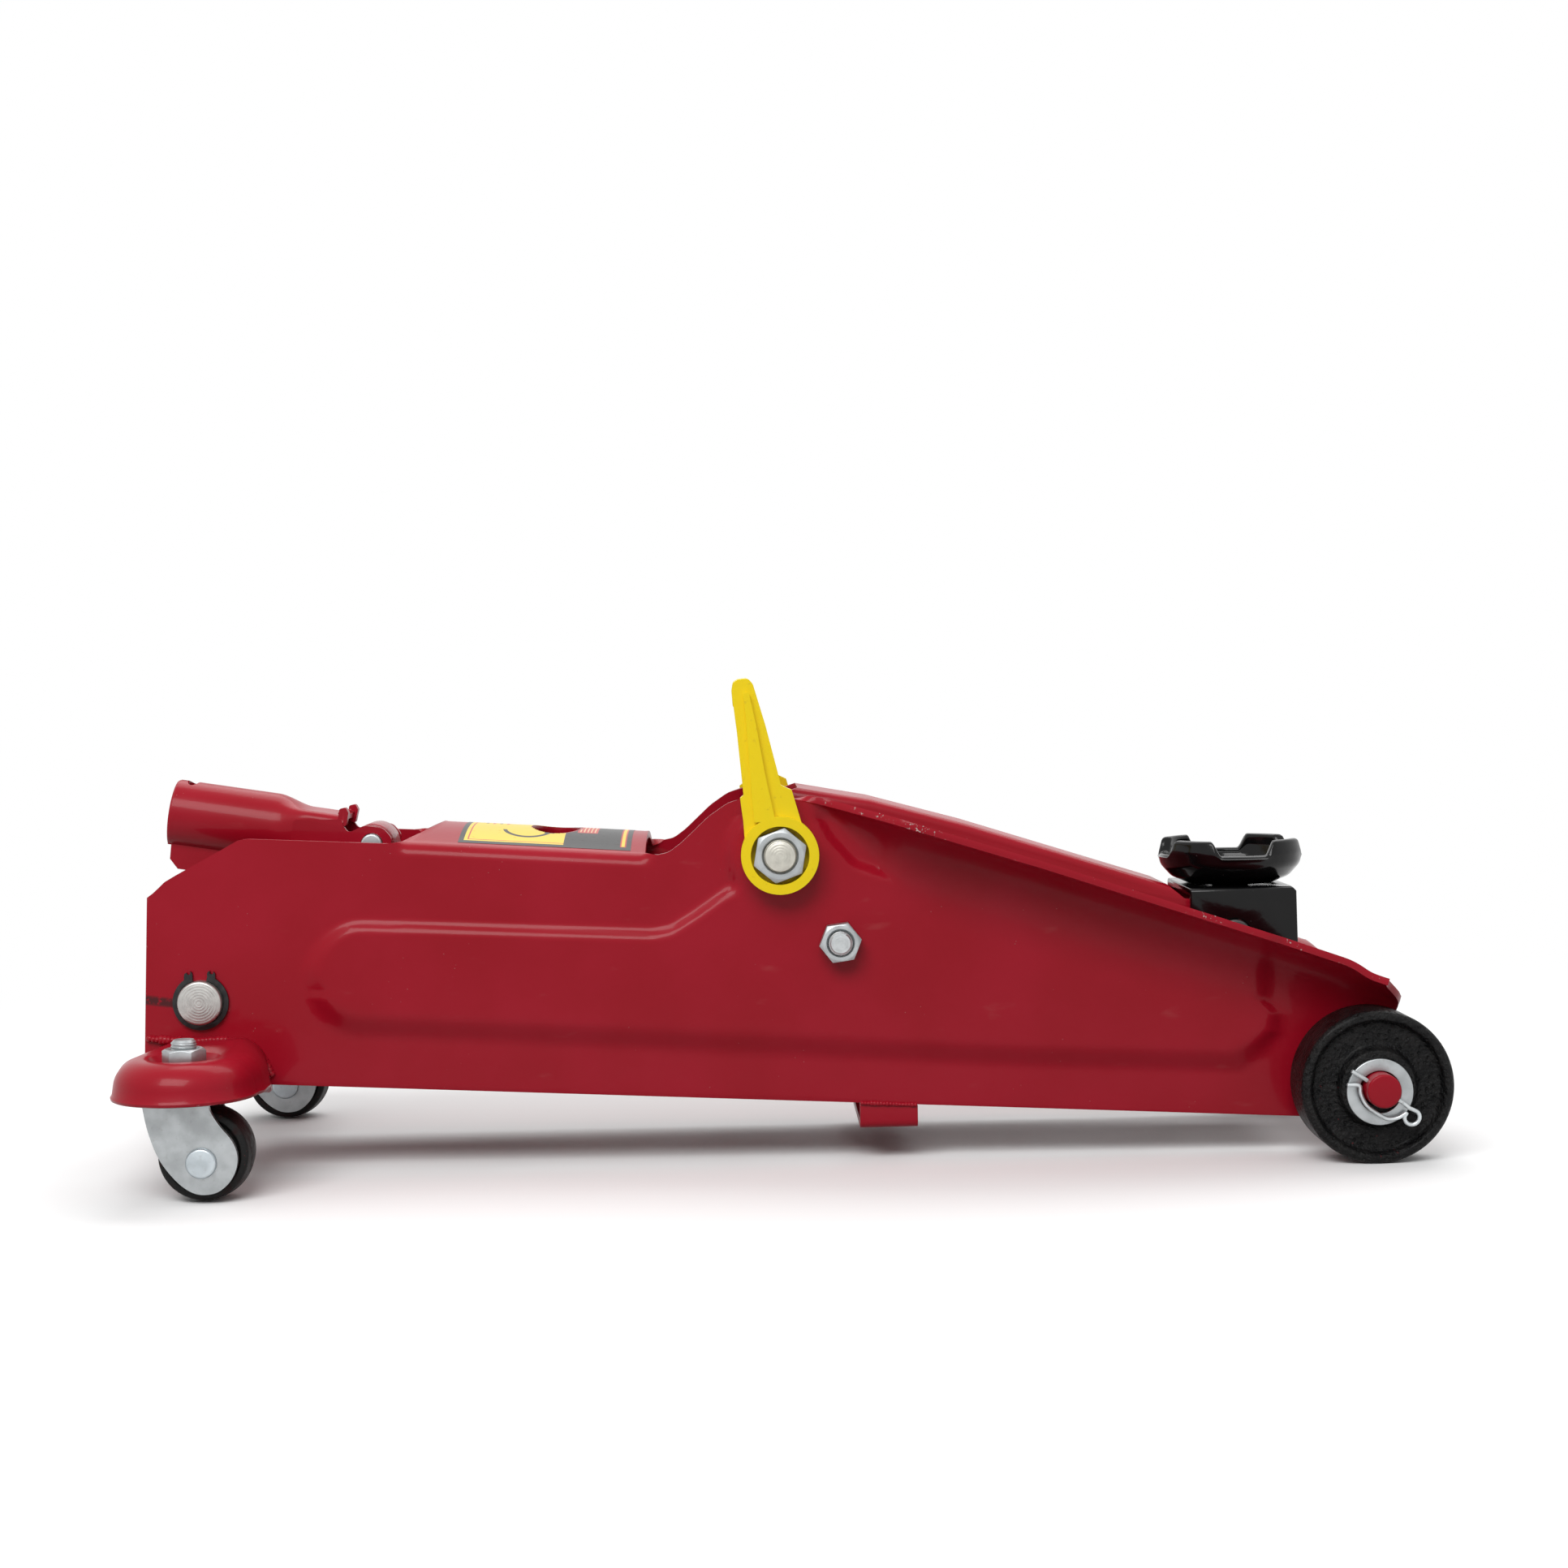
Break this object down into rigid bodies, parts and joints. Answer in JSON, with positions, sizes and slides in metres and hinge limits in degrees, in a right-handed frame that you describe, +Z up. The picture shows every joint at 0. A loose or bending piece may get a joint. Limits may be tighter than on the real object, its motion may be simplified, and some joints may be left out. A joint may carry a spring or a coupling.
{
  "type": "trolley jack",
  "caption": "Low hydraulic trolley jack: pressed steel frame, notched round saddle on a lift arm with levelling link bars, pump handle socket, carry handle, front wheels and swivel casters",
  "frame": {"origin": "on the floor below the middle of the jack's overall box", "axes": "+X towards the saddle and front wheels, +Y to the jack's left side, +Z up"},
  "size_m": [0.5672, 0.2674, 0.212],
  "materials": {
    "red_paint": "glossy dark red paint",
    "black_paint": "glossy black paint",
    "cast_iron": "black painted rough casting",
    "zinc": "bright zinc plating",
    "dark_steel": "oiled dark steel",
    "yellow_plastic": "moulded yellow plastic",
    "caster_rubber": "satin black",
    "chrome": "ground and chromed"
  },
  "bodies": {
    "frame": {"anchor_bolt_left": "zinc", "anchor_bolt_right": "zinc", "anchor_nut_left": "zinc", "anchor_nut_right": "zinc", "axle_spacer_left": "dark_steel", "axle_spacer_right": "dark_steel", "axle_washer_left": "zinc", "axle_washer_right": "zinc", "caster_bracket_left": "red_paint", "caster_bracket_right": "red_paint", "circlip_left": "black_paint", "circlip_right": "black_paint", "cross_strap": "red_paint", "filler_plug": "caster_rubber", "frame": "red_paint", "front_axle": "red_paint", "overload_plug": "zinc", "pivot_bolt": "zinc", "pivot_nut_left": "zinc", "pivot_nut_right": "zinc", "plunger_gland": "zinc", "plunger_spring": "dark_steel", "pump_block": "red_paint", "r_clip_left": "zinc", "r_clip_right": "zinc", "ram_gland_nut": "dark_steel", "rear_pin": "zinc", "reservoir_tube": "red_paint", "socket_pivot_pin": "zinc"},
    "lift_arm": {"lift_arm": "red_paint", "hub_sleeve": "dark_steel", "ram_cross_pin": "dark_steel", "arm_end_pin": "zinc"},
    "saddle_bracket": {"saddle_bracket": "black_paint", "link_pin": "dark_steel"},
    "saddle": {"saddle_cup": "black_paint", "saddle_retaining_ring": "dark_steel"},
    "link_bars": {"link_bar_left": "dark_steel", "link_bar_right": "dark_steel"},
    "ram": {"ram_rod": "chrome", "ram_head": "dark_steel"},
    "handle_socket": {"handle_socket": "red_paint", "pump_roller": "zinc"},
    "plunger": {"pump_plunger": "chrome"},
    "release_valve": {"release_valve": "zinc"},
    "carry_handle": {"carry_handle": "yellow_plastic"},
    "front_wheel_left": {"front_wheel_left": "cast_iron"},
    "caster_fork_left": {"caster_fork_left": "zinc", "caster_nut_left": "zinc", "caster_rivet_left": "zinc"},
    "caster_wheel_left": {"caster_wheel_left": "caster_rubber"},
    "front_wheel_right": {"front_wheel_right": "cast_iron"},
    "caster_fork_right": {"caster_fork_right": "zinc", "caster_nut_right": "zinc", "caster_rivet_right": "zinc"},
    "caster_wheel_right": {"caster_wheel_right": "caster_rubber"}
  },
  "joints": [
    {"name": "arm_lift", "type": "hinge", "parent": "frame", "child": "lift_arm", "pos_m": [-0.0014, 0, 0.1356], "axis": [0, -1, 0], "range_deg": [0, 70]},
    {"name": "saddle_level", "type": "hinge", "parent": "lift_arm", "child": "saddle_bracket", "pos_m": [0.201, 0, 0.0935], "axis": [0, -1, 0], "range_deg": [-70, 0]},
    {"name": "saddle_turn", "type": "hinge", "parent": "saddle_bracket", "child": "saddle", "pos_m": [0.2048, 0, 0.112], "axis": [0, 0, 1], "continuous": true},
    {"name": "link_swing", "type": "hinge", "parent": "frame", "child": "link_bars", "pos_m": [0.024, 0, 0.0971], "axis": [0, -1, 0], "range_deg": [0, 70]},
    {"name": "ram_slide", "type": "slide", "parent": "frame", "child": "ram", "axis": [1, 0, 0], "range_m": [0, 0.0575]},
    {"name": "socket_pump", "type": "hinge", "parent": "frame", "child": "handle_socket", "pos_m": [-0.183, 0, 0.1413], "axis": [0, 1, 0], "range_deg": [0, 50]},
    {"name": "plunger_slide", "type": "slide", "parent": "frame", "child": "plunger", "axis": [0, 0, 1], "range_m": [0, 0.0212], "deforming": ["plunger_spring"]},
    {"name": "valve_turn", "type": "hinge", "parent": "frame", "child": "release_valve", "pos_m": [-0.25, 0, 0.101], "axis": [1, 0, 0], "range_deg": [0, 360]},
    {"name": "carry_handle_fold", "type": "hinge", "parent": "frame", "child": "carry_handle", "pos_m": [-0.0014, 0, 0.1356], "axis": [0, -1, 0], "range_deg": [0, 58]},
    {"name": "front_wheel_right_spin", "type": "hinge", "parent": "frame", "child": "front_wheel_right", "pos_m": [0.2508, -0.07475, 0.0328], "axis": [0, 1, 0], "continuous": true},
    {"name": "caster_right_swivel", "type": "hinge", "parent": "frame", "child": "caster_fork_right", "pos_m": [-0.2515, -0.1016, 0.05], "axis": [0, 0, 1], "continuous": true},
    {"name": "caster_right_roll", "type": "hinge", "parent": "caster_fork_right", "child": "caster_wheel_right", "pos_m": [-0.243, -0.1016, 0.0198], "axis": [0, 1, 0], "continuous": true},
    {"name": "front_wheel_left_spin", "type": "hinge", "parent": "frame", "child": "front_wheel_left", "pos_m": [0.2508, 0.07475, 0.0328], "axis": [0, 1, 0], "continuous": true},
    {"name": "caster_left_swivel", "type": "hinge", "parent": "frame", "child": "caster_fork_left", "pos_m": [-0.2515, 0.1016, 0.05], "axis": [0, 0, 1], "continuous": true},
    {"name": "caster_left_roll", "type": "hinge", "parent": "caster_fork_left", "child": "caster_wheel_left", "pos_m": [-0.243, 0.1016, 0.0198], "axis": [0, 1, 0], "continuous": true}
  ],
  "couplings": [
    {"joint": "saddle_level", "follows": "arm_lift", "ratio": -1},
    {"joint": "link_swing", "follows": "arm_lift", "ratio": 1},
    {"joint": "ram_slide", "follows": "arm_lift", "m_per_rad": 0.04695},
    {"joint": "plunger_slide", "follows": "socket_pump", "m_per_rad": 0.02394}
  ]
}
